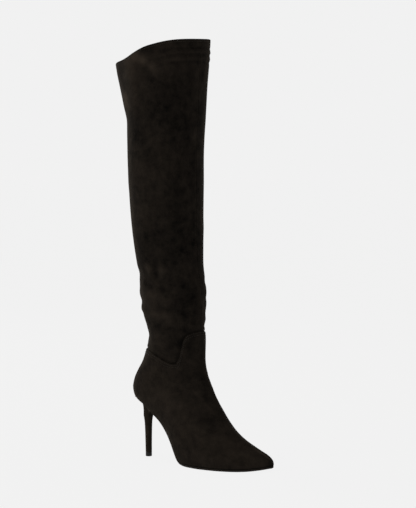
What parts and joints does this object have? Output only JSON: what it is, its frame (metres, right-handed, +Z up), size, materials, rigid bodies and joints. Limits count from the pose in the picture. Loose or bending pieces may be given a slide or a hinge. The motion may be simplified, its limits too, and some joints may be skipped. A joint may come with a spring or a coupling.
{
  "type": "thigh high boot",
  "caption": "Over-the-knee boot for the right foot in black suede, with a pointed toe, a slim covered high heel and an open flared collar.",
  "frame": {"origin": "middle of the boot's bounding box on the floor that it stands on", "axes": "+X toward the toe, +Y toward the wearer's left (the inner side of this right boot), +Z up along the shaft"},
  "size_m": [0.2514, 0.1268, 0.5851],
  "materials": {
    "suede": "matte suede nap, warm black, mottled",
    "sole_leather": "smooth black sole edge and base, low sheen",
    "insole_leather": "smooth black lining leather",
    "lift_rubber": "hard black lift, semi matte"
  },
  "bodies": {
    "root": {"upper": "suede", "shaft": "suede", "outsole": "sole_leather", "insole": "insole_leather", "heel": "suede", "top_piece": "lift_rubber"}
  },
  "joints": []
}
